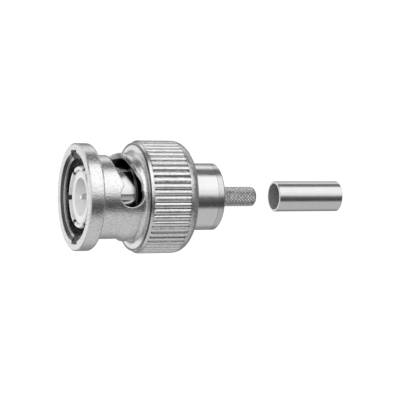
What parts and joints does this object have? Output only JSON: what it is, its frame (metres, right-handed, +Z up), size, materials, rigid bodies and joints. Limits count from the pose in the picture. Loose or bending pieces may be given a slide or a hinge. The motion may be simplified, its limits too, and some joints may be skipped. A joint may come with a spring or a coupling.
{
  "type": "bnc connector",
  "caption": "Bayonet coaxial cable plug with knurled coupling nut, slotted outer contact, centre pin, knurled crimp spigot and a separate crimp ferrule on the same axis.",
  "frame": {"origin": "on the plug's axis, in the front plane of the outer contact (the mating plane)", "axes": "+X along the plug from the mating end to the cable end, +Z up through one entry groove of the nut, Y across"},
  "size_m": [0.037, 0.0144, 0.0144],
  "materials": {
    "nickel_nut": "satin nickel plate",
    "nickel_body": "bright nickel plate",
    "nickel_contact": "bright nickel plate",
    "silver_pin": "bright plate",
    "nickel_ferrule": "bright nickel plate",
    "ptfe": "waxy white",
    "silicone": "matt",
    "bronze_spring": "satin",
    "steel_ring": "satin"
  },
  "bodies": {
    "plug": {"plug_body": "nickel_body", "gasket": "silicone", "outer_contact": "nickel_contact", "front_insulator": "ptfe", "rear_insulator": "ptfe", "centre_contact": "silver_pin", "thrust_washer": "steel_ring", "wave_spring": "bronze_spring"},
    "ring": {"retaining_ring": "steel_ring"},
    "nut": {"coupling_nut": "nickel_nut"},
    "ferrule": {"crimp_ferrule": "nickel_ferrule"}
  },
  "joints": [
    {"name": "nut_float", "type": "slide", "parent": "plug", "child": "ring", "axis": [-1, 0, 0], "range_m": [0, 0.00035], "stiffness_N_per_m": 1200, "deforming": ["wave_spring"]},
    {"name": "nut_spin", "type": "hinge", "parent": "ring", "child": "nut", "pos_m": [0, 0, 0], "axis": [-1, 0, 0], "continuous": true},
    {"name": "ferrule_slide", "type": "slide", "parent": "plug", "child": "ferrule", "axis": [-1, 0, 0], "range_m": [0, 0.00875]}
  ]
}
